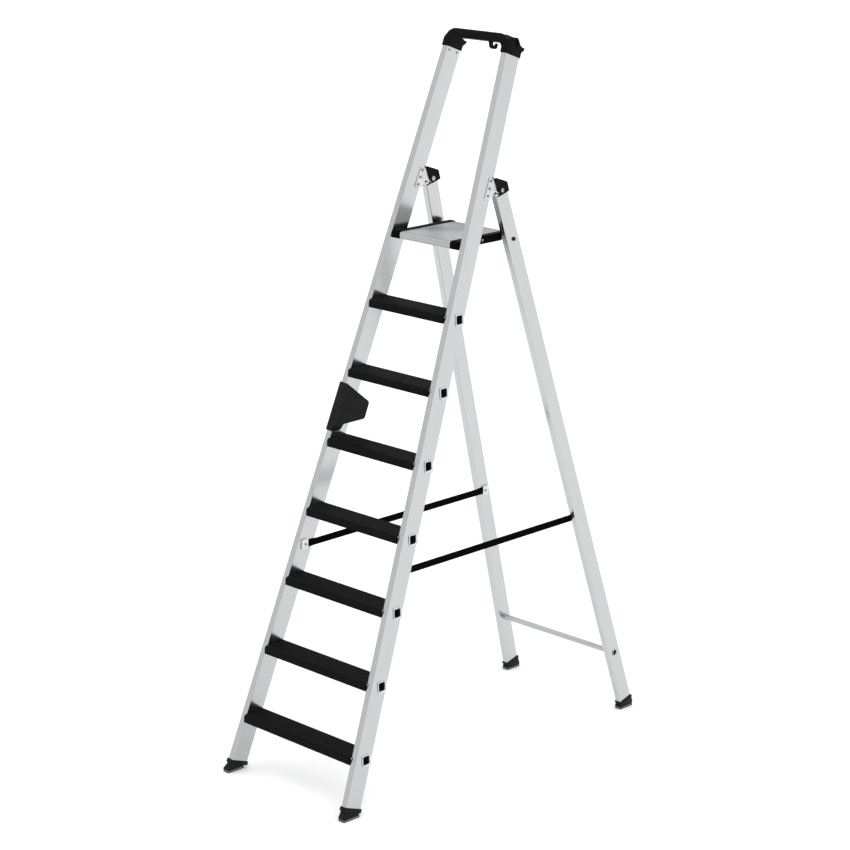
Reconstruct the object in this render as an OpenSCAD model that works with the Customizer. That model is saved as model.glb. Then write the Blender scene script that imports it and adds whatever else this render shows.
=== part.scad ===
// Folding step ladder with a fold-up platform. Millimetres, +Z up.
// +X is the climber's right, +Y runs from the front stiles to the rear legs.
// The origin is on the floor, midway between the front and rear soles.

/* [Overall] */
// height of one step, tread top to tread top
step_pitch = 235; // [210:1:260]
// height of the first tread top above the floor
first_step = 205.4; // [180:0.1:230]
// width over the front stiles at the floor
base_width = 607.2; // [500:0.1:700]
// lean of the front stiles from upright, degrees
front_lean = 20.67; // [16:0.01:24]
// lean of the rear legs from upright, degrees
rear_lean = 15.91; // [12:0.01:20]
// inward slope of each front stile, degrees
side_taper = 3.33; // [2:0.01:4.5]

/* [Front stiles] */
// depth of the stile section
stile_depth = 70.6; // [60:0.1:90]
// width of the stile section
stile_width = 24; // [20:0.1:32]
// wall thickness of the stile
stile_wall = 1.8; // [1.2:0.1:2.5]
// outside corner radius of the stile
stile_corner = 2.5; // [1:0.1:4]

/* [Rear legs] */
// depth of the rear leg section
leg_depth = 57; // [45:0.1:75]
// width of the rear leg section
leg_width = 25; // [20:0.1:32]
// wall thickness of the rear leg
leg_wall = 1.6; // [1.2:0.1:2.5]
// how much narrower the rear base is than the front base, each side
rear_inset = 1.4; // [0:0.1:4]
// inward slope of each rear leg, degrees
leg_taper = 3.39; // [2:0.01:4.5]

/* [Steps] */
// how far the tread nose stands forward of the stile
nose_overhang = 12.5; // [6:0.5:20]
// outside size of the square step tube
tube_size = 32; // [26:0.5:36]
// wall of the square step tube
tube_wall = 2.2; // [1.5:0.1:3]
// width of the swaged rim around each step tube end
rim_size = 41; // [36:0.5:46]
// thickness of the swaged rim
rim_thick = 2.8; // [1.5:0.1:4]
// thickness of the moulded tread cover
cover_thick = 3.3; // [2.5:0.1:5]
// height of the tread nose
nose_drop = 30; // [24:0.5:34]

/* [Platform] */
// platform depth, front nose to rear end
platform_depth = 273; // [240:1:300]
// thickness of the platform
platform_thick = 27.4; // [24:0.1:34]
// space between the deck edge and the stile inner face
deck_gap = 45.2; // [40:0.1:60]
// width of each moulded side
side_width = 23.5; // [18:0.5:24]

/* [Hinge] */
// distance of the hinge bolt up the front stile from the platform
hinge_above = 210.5; // [180:0.5:260]
// distance of the hinge bolt behind the stile
hinge_gap = 45.4; // [40:0.1:55]
// thickness of the hinge plates
plate_thick = 2.5; // [2:0.1:3.5]

/* [Cap] */
// distance of the cap lower edge up the front stile from the platform
cap_above = 655.5; // [600:0.5:720]
// height of the cap measured along the stile
cap_height = 64; // [50:1:80]

/* [Hidden] */
$fn = 48;
eps = 0.01;
fit = 0.05;
step_count = 7;
half_base = base_width / 2;
platform_top = first_step + step_count * step_pitch - 3;
platform_up = platform_top / cos(front_lean);
hinge_up = platform_up + hinge_above;
hinge_back = stile_depth + hinge_gap;
cap_start = platform_up + cap_above;
stile_rise = cap_start / cos(side_taper) + 28;
stile_foot = 44;

// hinge bolt in the world frame, measured from the front face at the floor
hinge_y = hinge_up * sin(front_lean) + hinge_back * cos(front_lean);
hinge_z = hinge_up * cos(front_lean) - hinge_back * sin(front_lean);

// rear leg frame: the bolt sits leg_pivot_back behind the leg front face
leg_pivot_back = 30;
leg_pivot_up = (hinge_z - leg_pivot_back * sin(rear_lean)) / cos(rear_lean);
leg_base_y = hinge_y + leg_pivot_up * sin(rear_lean) - leg_pivot_back * cos(rear_lean);
half_rear = half_base - rear_inset;
leg_foot = 30;
leg_top = leg_pivot_up - 16.6;

// soles, on the floor
front_sole_length = 70;
rear_sole_start = leg_base_y - 8.5;
rear_sole_length = 66;
sole_thick = 9;
mid_depth = (rear_sole_start + rear_sole_length) / 2;

// platform
platform_under = platform_top - platform_thick;
platform_nose = platform_under * tan(front_lean) + 3.5;
platform_rear = platform_nose + platform_depth;
pivot_back = 27;
pivot_z = platform_top - 17.5;
pivot_up = (pivot_z + pivot_back * sin(front_lean)) / cos(front_lean);
pivot_y = pivot_up * sin(front_lean) + pivot_back * cos(front_lean);
rest_z = platform_top - 17.4;
rest_back = 31;
rest_up = (rest_z - rest_back * sin(rear_lean)) / cos(rear_lean);
rest_y = leg_base_y - rest_up * sin(rear_lean) + rest_back * cos(rear_lean);
block_half = stile_inner(pivot_up + 40) - 1;
deck_half = stile_inner(pivot_up) - deck_gap;
side_half = deck_half + side_width;

// straps
strap_z = step_z(3) + 0.4323 * step_pitch;
strap_width = 25;
strap_thick = 1.6;
strap_front_back = 38;
strap_front_up = along_stile((strap_z + 33 * sin(front_lean)) / cos(front_lean)) + 1.4;
strap_rear_back = 26;
strap_rear_up = along_leg((strap_z - 31 * sin(rear_lean)) / cos(rear_lean)) + 1.5;

// inside half width and outside half width between stiles or legs
function stile_outer(up) = half_base - up * tan(side_taper);
function stile_inner(up) = stile_outer(up) - stile_width / cos(side_taper);
function leg_outer(up) = half_rear - up * tan(leg_taper);
function leg_inner(up) = leg_outer(up) - leg_width / cos(leg_taper);
// distance along the sloping stile or leg for a distance up the front or rear frame
function along_stile(up) = up / cos(side_taper);
function along_leg(up) = up / cos(leg_taper);
function step_z(n) = first_step + (n - 1) * step_pitch;
function step_y(n) = step_z(n) * tan(front_lean);

// ---------- frames ----------
// floor frame with Y measured from the front face of the stiles
module floor_frame() {
  translate([0, -mid_depth, 0]) children();
}

// X across, Y behind the stile front face, Z up along the stile
module front_frame() {
  floor_frame() rotate([-front_lean, 0, 0]) children();
}

// X outward from the right stile outer face, Y and Z as the front frame
module stile_frame() {
  front_frame() translate([half_base, 0, 0]) rotate([0, -side_taper, 0]) children();
}

// X across, Y behind the leg front face, Z up along the leg
module rear_frame() {
  floor_frame() translate([0, leg_base_y, 0]) rotate([rear_lean, 0, 0]) children();
}

// X outward from the right leg outer face
module leg_frame() {
  rear_frame() translate([half_rear, 0, 0]) rotate([0, -leg_taper, 0]) children();
}

// the left hand copy of a right hand shape
module left_hand() {
  mirror([1, 0, 0]) children();
}

// a flat outline drawn in Y and Z, made thick along X from x0 to x1
module across(x0, x1) {
  translate([x0, 0, 0]) rotate([90, 0, 90]) linear_extrude(x1 - x0) children();
}

// a flat outline drawn in X and Z, made thick along Y from y0 to y1
module through(y0, y1) {
  translate([0, y1, 0]) rotate([90, 0, 0]) linear_extrude(y1 - y0) children();
}

// a round bar along X
module cross_bar(x0, x1, radius) {
  translate([x0, 0, 0]) rotate([0, 90, 0]) cylinder(h = x1 - x0, r = radius);
}

// flat rounded rectangle, lower corner at the origin
module rounded_plate(w, h, r) {
  translate([r, 0]) square([w - 2 * r, h]);
  translate([0, r]) square([w, h - 2 * r]);
  for (x = [r, w - r]) {
    for (y = [r, h - r]) {
      translate([x, y]) circle(r);
    }
  }
}

// everything between the stile inner faces, less a gap each side
module between_stiles(gap) {
  low = stile_inner(0) - gap;
  high = stile_inner(2800) - gap;
  front_frame() through(-80, 200)
    polygon([[-low, 0], [low, 0], [high, 2800], [-high, 2800]]);
}

// everything within the stile outer faces, plus a margin each side
module across_stiles(margin) {
  low = stile_outer(0) + margin;
  high = stile_outer(2800) + margin;
  front_frame() through(-80, 200)
    polygon([[-low, 0], [low, 0], [high, 2800], [-high, 2800]]);
}

// ---------- front stiles ----------
module stile_section() {
  difference() {
    translate([-stile_width, 0]) rounded_plate(stile_width, stile_depth, stile_corner);
    translate([-stile_width + stile_wall, stile_wall])
      square([stile_width - 2 * stile_wall, stile_depth - 2 * stile_wall]);
  }
}

// square hole for the step tube n
module step_hole(n) {
  floor_frame() translate([0, step_y(n), step_z(n)])
    across(half_base / 3, half_base + 100) translate([tube_y - fit, tube_low - fit])
      square([tube_size + 2 * fit, tube_size + 2 * fit]);
}

// positions of the hinge rivets up the stile
hinge_rivet_back = 57;
hinge_along = along_stile(hinge_up);
hinge_rivet_ups = [hinge_along - 35, hinge_along - 9, hinge_along + 17];
rivet_radius = 2.5;
cap_rivet_backs = [16, 55];
cap_along = along_stile(cap_start);
cap_rivet_up = cap_along - 9;

module stile_right_shape() {
  difference() {
    stile_frame() translate([0, 0, stile_foot])
      linear_extrude(stile_rise - stile_foot) stile_section();
    for (n = [1:step_count]) step_hole(n);
    stile_frame() for (up = hinge_rivet_ups) {
      translate([0, hinge_rivet_back, up]) cross_bar(-stile_width - 1, 1, rivet_radius + fit);
    }
    stile_frame() for (back = cap_rivet_backs) {
      translate([0, back, cap_rivet_up])
        cross_bar(-stile_width - 1, -stile_width + stile_wall + 1, rivet_radius + fit);
    }
    stile_frame() translate([0, strap_front_back - 5, strap_front_up])
      cross_bar(-stile_width - 1, -stile_width + stile_wall + 1, rivet_radius + fit);
    floor_frame() translate([0, pivot_y, pivot_z])
      cross_bar(stile_inner(pivot_up) - 6, stile_inner(pivot_up) + 6, 5 + fit);
  }
}

module stile_right() {
  color([0.80, 0.81, 0.81]) stile_right_shape();
}

module stile_left() {
  color([0.80, 0.81, 0.81]) difference() {
    left_hand() stile_right_shape();
    left_hand() stile_frame() for (up = grip_screw_ups) {
      translate([0, grip_screw_back, up])
        cross_bar(-stile_width - 1, -stile_width + stile_wall + 1, grip_screw_radius + fit);
    }
  }
}

// ---------- steps ----------
tube_y = 43 - tube_size / 2;
tube_high = -cover_thick - 2.2;
tube_low = tube_high - tube_size;
deck_plate = 2.5;
tread_back = stile_depth / cos(front_lean);
channel_front = -5;
channel_back = tread_back - 2.5;

// channel under the tread, drawn in Y and Z from the tread top at the stile front
module channel_section() {
  translate([channel_front, -cover_thick - deck_plate - 0.1])
    square([channel_back - channel_front, deck_plate]);
  translate([channel_front, -26]) square([2.2, 26 - cover_thick - 0.1]);
  translate([channel_front, -26]) square([7, 2]);
  translate([channel_back - 2.2, -19]) square([2.2, 19 - cover_thick - 0.1]);
  translate([channel_back - 7, -19]) square([7, 2]);
  translate([tube_y, tube_low]) square([tube_size, tube_size]);
}

module rim_section() {
  translate([tube_y + (tube_size - rim_size) / 2, tube_low + (tube_size - rim_size) / 2])
    rounded_plate(rim_size, rim_size, 8);
}

module step_profile(n) {
  color([0.83, 0.84, 0.84]) difference() {
    union() {
      intersection() {
        floor_frame() translate([0, step_y(n), step_z(n)])
          across(-half_base, half_base) channel_section();
        between_stiles(0.4);
      }
      intersection() {
        floor_frame() translate([0, step_y(n), step_z(n)]) across(-half_base - 20, half_base + 20)
          translate([tube_y, tube_low]) square([tube_size, tube_size]);
        across_stiles(rim_thick);
      }
      for (side = [0, 1]) mirror([side, 0, 0]) intersection() {
        floor_frame() translate([0, step_y(n), step_z(n)])
          across(half_base / 3, half_base + 20) rim_section();
        stile_frame() translate([0.02, -100, 0]) cube([rim_thick - 0.02, 300, 2600]);
      }
    }
    floor_frame() translate([0, step_y(n), step_z(n)]) across(-half_base - 30, half_base + 30)
      translate([tube_y + tube_wall, tube_low + tube_wall])
        square([tube_size - 2 * tube_wall, tube_size - 2 * tube_wall]);
  }
}

module step_profile_1() { step_profile(1); }
module step_profile_2() { step_profile(2); }
module step_profile_3() { step_profile(3); }
module step_profile_4() { step_profile(4); }
module step_profile_5() { step_profile(5); }
module step_profile_6() { step_profile(6); }
module step_profile_7() { step_profile(7); }

// moulded cover with a rounded nose and small grip grooves
groove_pitch = 6.9;
groove_count = 10;
module cover_section() {
  nose = -nose_overhang;
  difference() {
    polygon([
      [tread_back, 0], [2, 0], [nose + 9.5, -1.2], [nose + 5, -3.4],
      [nose + 1.6, -6.4], [nose, -10], [nose, -nose_drop + 1.5],
      [nose + 1.5, -nose_drop], [channel_front - 0.1, -nose_drop],
      [channel_front - 0.1, -cover_thick], [channel_back + 0.1, -cover_thick],
      [channel_back + 0.1, -14], [tread_back, -14]
    ]);
    for (i = [0:groove_count - 1]) {
      translate([5 + i * groove_pitch, -0.8]) square([2.6, 2]);
    }
  }
}

module tread_cover(n) {
  color([0.10, 0.10, 0.11]) intersection() {
    floor_frame() translate([0, step_y(n), step_z(n)])
      across(-half_base, half_base) cover_section();
    between_stiles(0.4);
  }
}

module tread_cover_1() { tread_cover(1); }
module tread_cover_2() { tread_cover(2); }
module tread_cover_3() { tread_cover(3); }
module tread_cover_4() { tread_cover(4); }
module tread_cover_5() { tread_cover(5); }
module tread_cover_6() { tread_cover(6); }
module tread_cover_7() { tread_cover(7); }

// ---------- top cap ----------
cap_skin = 2;
cap_top = cap_start + cap_height;
cap_round = 45;
bar_height = 31;
tray_back = 80;

// front face of the cap: an arch with rounded shoulders
module cap_front_outline() {
  low = stile_outer(cap_start) + cap_skin;
  shoulder = stile_outer(cap_top) + cap_skin - cap_round;
  mid = cap_top - cap_round;
  polygon([[-low, cap_start], [low, cap_start], [shoulder + cap_round, mid], [-shoulder - cap_round, mid]]);
  translate([-shoulder, mid - 1]) square([2 * shoulder, cap_round + 1]);
  for (x = [-shoulder, shoulder]) translate([x, mid]) intersection() {
    circle(cap_round, $fn = 96);
    translate([-cap_round, -1]) square([2 * cap_round, cap_round + 1]);
  }
}

// opening below the crossbar
module cap_window_outline() {
  low = stile_inner(cap_start) - cap_skin;
  high = stile_inner(cap_top) - cap_skin;
  lift = cap_top - bar_height;
  polygon([[-low, cap_start - 1], [low, cap_start - 1], [high + 1.5, lift - 12],
    [high - 10, lift], [-high + 10, lift], [-high - 1.5, lift - 12]]);
}

// side of each cap arm, drawn in Y and Z
module cap_arm_outline() {
  polygon([[-cap_skin, cap_start], [-cap_skin, cap_start + 30], [10, cap_top - 12], [14, cap_top - 6],
    [42, cap_top - 1], [62, cap_top - 22], [stile_depth + 1.4, cap_start + 38],
    [stile_depth + 13, cap_start + 38], [stile_depth + 14, cap_start + 36],
    [stile_depth + 12, cap_start + 29], [stile_depth + 1.4, cap_start + 18],
    [stile_depth + 1.4, cap_start]]);
}

module cap_arm() {
  low_in = stile_inner(cap_start) - cap_skin;
  low_out = stile_outer(cap_start) + cap_skin;
  slope = tan(side_taper);
  intersection() {
    front_frame() across(half_base / 5, half_base) cap_arm_outline();
    front_frame() through(-20, 120)
      polygon([[low_in, cap_start], [low_out, cap_start],
        [low_out - slope * 70, cap_start + 70], [low_in - slope * 70, cap_start + 70]]);
  }
}

module cap_hook_outline() {
  translate([stile_inner(cap_top) - 122.8, 0])
    polygon([[55, 25], [72, 25], [73, 16], [79, 10], [87, 11], [88, 18], [95, 19], [96, 5],
      [90, 0], [71, 0], [65, 5]]);
}

module top_cap() {
  inner_top = stile_inner(cap_top);
  color([0.09, 0.09, 0.10]) difference() {
    union() {
      front_frame() through(-cap_skin, 14) difference() {
        cap_front_outline();
        cap_window_outline();
      }
      cap_arm();
      left_hand() cap_arm();
      front_frame() across(-inner_top + 1, inner_top - 1)
        polygon([[12, cap_top - bar_height + 3], [12, cap_top], [tray_back - 3, cap_top],
          [tray_back, cap_top - 3], [tray_back, cap_top - 16], [30, cap_top - 22]]);
      front_frame() translate([0, 0, cap_top - bar_height - 24 + eps])
        through(2, 10) cap_hook_outline();
    }
    front_frame() translate([-inner_top + 8, 14, cap_top - 10])
      cube([2 * inner_top - 16, tray_back - 20, 20]);
    for (side = [0, 1]) mirror([side, 0, 0]) {
      stile_frame() translate([-stile_width - fit, -fit, cap_along - 20])
        cube([stile_width + 2 * fit, stile_depth + 2 * fit, stile_rise - cap_along + 20 + fit]);
      stile_frame() translate([-2, 26, cap_along + 34]) cube([10, 20, 18]);
    }
  }
}

module rivet_bar(x0, x1, head) {
  cross_bar(x0, x1, rivet_radius);
  cross_bar(x1 + 0.02, x1 + 1.6, head);
  cross_bar(x1 - 1, x1 + 0.1, rivet_radius);
}

// blind rivets holding the cap to the stile inner faces
module cap_rivets() {
  color([0.62, 0.63, 0.64]) for (side = [0, 1]) mirror([side, 0, 0]) {
    stile_frame() for (back = cap_rivet_backs) translate([0, back, cap_rivet_up]) {
      cross_bar(-stile_width - 0.5, -stile_width + stile_wall + 2, rivet_radius);
      cross_bar(-stile_width - 1.8, -stile_width - 0.02, 4.2);
    }
  }
}

// ---------- hinge ----------
module plate_outline() {
  polygon([[43, hinge_along - 47], [47, hinge_along + 27], [100, hinge_along + 27],
    [hinge_back + 2, hinge_along + 13.8], [hinge_back, hinge_along],
    [hinge_back - 2, hinge_along - 13.8], [86, hinge_along - 13.5],
    [79, hinge_along - 30], [70, hinge_along - 47]]);
}

module hinge_plate(x0) {
  difference() {
    union() {
      stile_frame() across(x0, x0 + plate_thick) plate_outline();
      stile_frame() translate([0, hinge_back, hinge_along]) cross_bar(x0, x0 + plate_thick, 14);
    }
    stile_frame() for (up = hinge_rivet_ups) {
      translate([0, hinge_rivet_back, up]) cross_bar(x0 - 1, x0 + plate_thick + 1, rivet_radius + fit);
    }
    floor_frame() translate([0, hinge_y, hinge_z]) cross_bar(cheek_in - 20, cheek_out + 20, 5 + fit);
  }
}

module hinge_plate_outer_right() {
  color([0.86, 0.86, 0.86]) hinge_plate(0.02);
}

module hinge_plate_outer_left() {
  color([0.86, 0.86, 0.86]) left_hand() hinge_plate(0.02);
}

module hinge_plate_inner_right() {
  color([0.86, 0.86, 0.86]) hinge_plate(-stile_width - plate_thick - 0.02);
}

module hinge_plate_inner_left() {
  color([0.86, 0.86, 0.86]) left_hand() hinge_plate(-stile_width - plate_thick - 0.02);
}

// solid rivets through both plates and the stile
module hinge_rivets() {
  color([0.72, 0.72, 0.73]) for (side = [0, 1]) mirror([side, 0, 0]) {
    stile_frame() for (up = hinge_rivet_ups) translate([0, hinge_rivet_back, up]) {
      cross_bar(-stile_width - plate_thick - 0.5, plate_thick + 0.5, rivet_radius);
      cross_bar(plate_thick + 0.04, plate_thick + 2, 4.6);
      cross_bar(-stile_width - plate_thick - 2, -stile_width - plate_thick - 0.04, 4.6);
    }
  }
}

// cap head and cheeks, measured from the world X at the hinge bolt
head_in = stile_inner(hinge_up) + 3;
head_out = stile_outer(hinge_up) - 3.2;
neck_in = leg_inner(leg_top - 20) + leg_wall / cos(leg_taper) + 0.4;
cheek_gap = plate_thick + 1.9;
cheek_thick = 2.5;
cheek_out = stile_outer(hinge_up) + cheek_gap;
cheek_in = stile_inner(hinge_up) - cheek_gap;

module hinge_bolts() {
  color([0.78, 0.78, 0.79]) for (side = [0, 1]) mirror([side, 0, 0]) {
    floor_frame() translate([0, hinge_y, hinge_z]) {
      cross_bar(cheek_in - cheek_thick - 0.5, cheek_out + cheek_thick + 3, 5);
      cross_bar(cheek_out + cheek_thick + 0.3, cheek_out + cheek_thick + 4.3, 7.4);
      cross_bar(cheek_in - cheek_thick - 0.9, cheek_in - cheek_thick - 0.1, 8.5);
    }
  }
}

module cheek_outline() {
  polygon([[21, leg_pivot_up - 14.5], [12, leg_pivot_up + 4], [8, leg_pivot_up + 50],
    [12, leg_pivot_up + 54], [58, leg_pivot_up + 22], [61.5, leg_pivot_up + 16],
    [62, leg_pivot_up - 14.5]]);
}

module rear_cap_shape() {
  x_in = cheek_in - cheek_thick;
  x_out = cheek_out + cheek_thick;
  difference() {
    union() {
      rear_frame() across(x_in, cheek_in) cheek_outline();
      rear_frame() across(cheek_out, x_out) cheek_outline();
      rear_frame() across(x_in, x_out) intersection() {
        cheek_outline();
        translate([47, leg_pivot_up - 14.5]) square([20, 60]);
      }
      rear_frame() across(head_in, head_out)
        polygon([[26, leg_top + 0.4], [24, leg_pivot_up - 10], [15, leg_pivot_up + 8],
          [10, leg_pivot_up + 34], [50, leg_pivot_up + 26], [50, leg_top + 0.4]]);
      rear_frame() across(neck_in, head_out)
        translate([28, leg_top - 20]) square([20, 22]);
      leg_frame() translate([-leg_width + leg_wall + 0.3, leg_wall + 0.3, along_leg(leg_top) - 52])
        cube([leg_width - 2 * leg_wall - 0.6, leg_depth - 2 * leg_wall - 0.6, 40]);
    }
    floor_frame() translate([0, hinge_y, hinge_z]) cross_bar(cheek_in - 20, cheek_out + 20, 5.08);
  }
}

module rear_cap_right() {
  color([0.10, 0.10, 0.11]) rear_cap_shape();
}

module rear_cap_left() {
  color([0.10, 0.10, 0.11]) left_hand() rear_cap_shape();
}

// ---------- carry grip on the left stile ----------
grip_low = step_z(5) / cos(front_lean) + 0.11 * step_pitch;
grip_high = grip_low + 0.7404 * step_pitch;
grip_thick = 4;
grip_screw_back = 6;
grip_screw_radius = 2;
grip_screw_ups = [grip_low + 14, grip_low + 88, grip_high - 19];

module grip_side_outline() {
  polygon([[-grip_thick, grip_low], [-grip_thick, grip_high], [4, grip_high], [129, grip_high - 41],
    [134, grip_high - 48], [135, grip_low + 74], [129, grip_low + 67], [82, grip_low + 49],
    [43, grip_low + 34], [36, grip_low + 14], [23, grip_low + 8]]);
}

module carry_grip() {
  color([0.11, 0.11, 0.12]) left_hand() difference() {
    stile_frame() union() {
      across(-stile_width - grip_thick, -stile_width - 0.02) grip_side_outline();
      translate([-stile_width - 1, -grip_thick, grip_low])
        cube([stile_width + 1 + 2.4, grip_thick - 0.02, grip_high - grip_low]);
      translate([0.02, -grip_thick, grip_low]) cube([2.38, 22, grip_high - grip_low]);
    }
    stile_frame() for (up = grip_screw_ups) {
      translate([0, grip_screw_back, up])
        cross_bar(-stile_width - 9, -stile_width + 3, grip_screw_radius + fit);
    }
  }
}

module grip_screws() {
  color([0.16, 0.16, 0.17]) left_hand() stile_frame() for (up = grip_screw_ups) {
    translate([0, grip_screw_back, up]) {
      cross_bar(-stile_width - grip_thick - 0.5, -stile_width + 5, grip_screw_radius);
      cross_bar(-stile_width - grip_thick - 1.6, -stile_width - grip_thick - 0.02, 3.6);
    }
  }
}

// ---------- front feet ----------
front_sole_in = stile_inner(40) + 3;
front_sole_out = stile_outer(40) + 7;

module front_shoe_side() {
  polygon([[0, sole_thick], [0, 13], [8, 22], [15, 29], [13, 35.6], [74, 12.6], [63, 14.5],
    [66, 11.5], [front_sole_length, 10.5], [front_sole_length, sole_thick]]);
}

module front_shoe_front() {
  polygon([[front_sole_in, sole_thick], [front_sole_in, 14], [stile_inner(40) - 2, 30],
    [stile_inner(40) - 2, 60], [stile_outer(40) + 2, 60], [stile_outer(40) + 2, 30],
    [front_sole_out, 14], [front_sole_out, sole_thick]]);
}

module front_shoe_shape() {
  difference() {
    union() {
      floor_frame() intersection() {
        across(half_base - 100, half_base + 60) front_shoe_side();
        through(-20, 120) front_shoe_front();
      }
      stile_frame() translate([-stile_width - 2.4, -3, 37])
        cube([stile_width + 4.8, stile_depth + 6, 14]);
    }
    stile_frame() translate([-stile_width - fit, -fit, stile_foot - fit])
      cube([stile_width + 2 * fit, stile_depth + 2 * fit, 60]);
  }
}

module front_shoe_right() {
  color([0.09, 0.09, 0.10]) front_shoe_shape();
}

module front_shoe_left() {
  color([0.09, 0.09, 0.10]) left_hand() front_shoe_shape();
}

// flat sole with two shallow lines all round and grooves underneath
module sole_block(x0, x1, y0, length) {
  difference() {
    translate([x0, y0, 0]) cube([x1 - x0, length, sole_thick - 0.02]);
    for (z = [3.2, 6.2]) {
      translate([x0 - 1, y0 - 1, z]) difference() {
        cube([x1 - x0 + 2, length + 2, 0.8]);
        translate([1.6, 1.6, -1]) cube([x1 - x0 - 1.2, length - 1.2, 3]);
      }
    }
    for (i = [1:6]) {
      translate([x0 - 1, y0 + i * length / 7 - 1.2, -1]) cube([x1 - x0 + 2, 2.4, 2.5]);
    }
  }
}

module front_sole_right() {
  color([0.22, 0.22, 0.23]) floor_frame()
    sole_block(front_sole_in, front_sole_out, 0, front_sole_length);
}

module front_sole_left() {
  color([0.22, 0.22, 0.23]) left_hand() floor_frame()
    sole_block(front_sole_in, front_sole_out, 0, front_sole_length);
}

// ---------- rear legs ----------
brace_up = 230;
brace_back = 29.6;
brace_radius = 10;

module leg_section() {
  difference() {
    translate([-leg_width, 0]) rounded_plate(leg_width, leg_depth, 2.5);
    translate([-leg_width + leg_wall, leg_wall])
      square([leg_width - 2 * leg_wall, leg_depth - 2 * leg_wall]);
  }
}

module rear_leg_shape() {
  difference() {
    leg_frame() union() {
      translate([0, 0, leg_foot]) linear_extrude(along_leg(leg_top) - leg_foot) leg_section();
      translate([-leg_width + leg_wall - 0.5, leg_wall - 0.5, along_leg(leg_top) - 2])
        cube([leg_width - 2 * leg_wall + 1, 24, 2]);
      translate([-leg_width + 5, 1.2, along_leg(leg_top) - 2]) cube([leg_width - 11, 17, 14]);
    }
    rear_frame() translate([0, brace_back, brace_up])
      cross_bar(leg_inner(brace_up) - 20, leg_outer(brace_up) + 20, brace_radius + fit);
    floor_frame() translate([0, rest_y, rest_z])
      cross_bar(leg_inner(rest_up) - 20, leg_outer(rest_up) + 20, 5 + fit);
    leg_frame() translate([0, strap_rear_back + 4, strap_rear_up])
      cross_bar(-leg_width - 1, -leg_width + leg_wall + 1, rivet_radius + fit);
  }
}

module rear_leg_right() {
  color([0.78, 0.79, 0.79]) rear_leg_shape();
}

module rear_leg_left() {
  color([0.78, 0.79, 0.79]) left_hand() rear_leg_shape();
}

// round tube between the rear legs with swaged rims outside
module rear_brace() {
  color([0.82, 0.83, 0.83]) difference() {
    union() {
      rear_frame() translate([0, brace_back, brace_up])
        cross_bar(-leg_outer(brace_up) - 1.6, leg_outer(brace_up) + 1.6, brace_radius);
      for (side = [0, 1]) mirror([side, 0, 0]) {
        leg_frame() translate([0, brace_back, along_leg(brace_up)])
          cross_bar(0.02, 1.8, brace_radius + 3.5);
        leg_frame() translate([0, brace_back, along_leg(brace_up)])
          cross_bar(-leg_width - 2.2, -leg_width - 0.02, brace_radius + 2.5);
      }
    }
    rear_frame() translate([0, brace_back, brace_up])
      cross_bar(-half_base - 100, half_base + 100, brace_radius - 1.6);
  }
}

// ---------- rear feet ----------
rear_sole_in = leg_inner(25) - 2;
rear_sole_out = leg_outer(25) - 0.5;

module rear_shoe_side() {
  translate([leg_base_y, 0])
    polygon([[-8.5, sole_thick], [-8.5, 14], [-3.5, 18.5], [-9, 21], [-10.5, 27], [-6, 31.5],
      [46.5, 46.5], [52, 44], [51.5, 30], [57.5, 19], [57.5, sole_thick]]);
}

module rear_shoe_front() {
  polygon([[rear_sole_in, sole_thick], [rear_sole_in, 13], [leg_inner(30) - 2.2, 24],
    [leg_inner(30) - 2.2, 80], [leg_outer(30) + 2.2, 80], [leg_outer(30) + 2.2, 24],
    [rear_sole_out, 13], [rear_sole_out, sole_thick]]);
}

module rear_shoe_shape() {
  difference() {
    floor_frame() intersection() {
      across(half_base - 100, half_base + 60) rear_shoe_side();
      through(leg_base_y - 30, leg_base_y + 90) rear_shoe_front();
    }
    leg_frame() translate([-leg_width - fit, -fit, leg_foot - fit])
      cube([leg_width + 2 * fit, leg_depth + 2 * fit, 60]);
  }
}

module rear_shoe_right() {
  color([0.09, 0.09, 0.10]) rear_shoe_shape();
}

module rear_shoe_left() {
  color([0.09, 0.09, 0.10]) left_hand() rear_shoe_shape();
}

module rear_sole_right() {
  color([0.22, 0.22, 0.23]) floor_frame()
    sole_block(rear_sole_in, rear_sole_out, rear_sole_start, rear_sole_length);
}

module rear_sole_left() {
  color([0.22, 0.22, 0.23]) left_hand() floor_frame()
    sole_block(rear_sole_in, rear_sole_out, rear_sole_start, rear_sole_length);
}

// ---------- straps ----------
clip_height = 36;
clip_length = 28;
strap_front_y = strap_z * tan(front_lean) + 33;
strap_rear_y = leg_base_y - strap_z * tan(rear_lean) + 33;
strap_x = min(stile_inner(strap_front_up) - 3.3, leg_inner(strap_rear_up) - 1.8);
front_clip_thick = stile_inner(strap_front_up) - strap_x + 2.9;
rear_clip_thick = leg_inner(strap_rear_up) - strap_x + 4.4;

// pocket plate on the inner face, open towards the strap
module clip_box(width, clip_thick) {
  across(-width - clip_thick, -width - 0.02)
    translate([-clip_length / 2, -clip_height / 2]) rounded_plate(clip_length, clip_height, 4);
}

module strap_front_clips() {
  color([0.80, 0.81, 0.81]) for (side = [0, 1]) mirror([side, 0, 0]) difference() {
    stile_frame() translate([0, strap_front_back - 8, strap_front_up]) rotate([front_lean, 0, 0])
      clip_box(stile_width, front_clip_thick);
    floor_frame() translate([strap_x - 1.15, strap_front_y - 6, strap_z - strap_width / 2 - 1.5])
      cube([2.3, 60, strap_width + 3]);
    stile_frame() translate([0, strap_front_back - 5, strap_front_up])
      cross_bar(-stile_width - front_clip_thick - 3, -stile_width + 3, rivet_radius + fit);
  }
}

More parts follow.
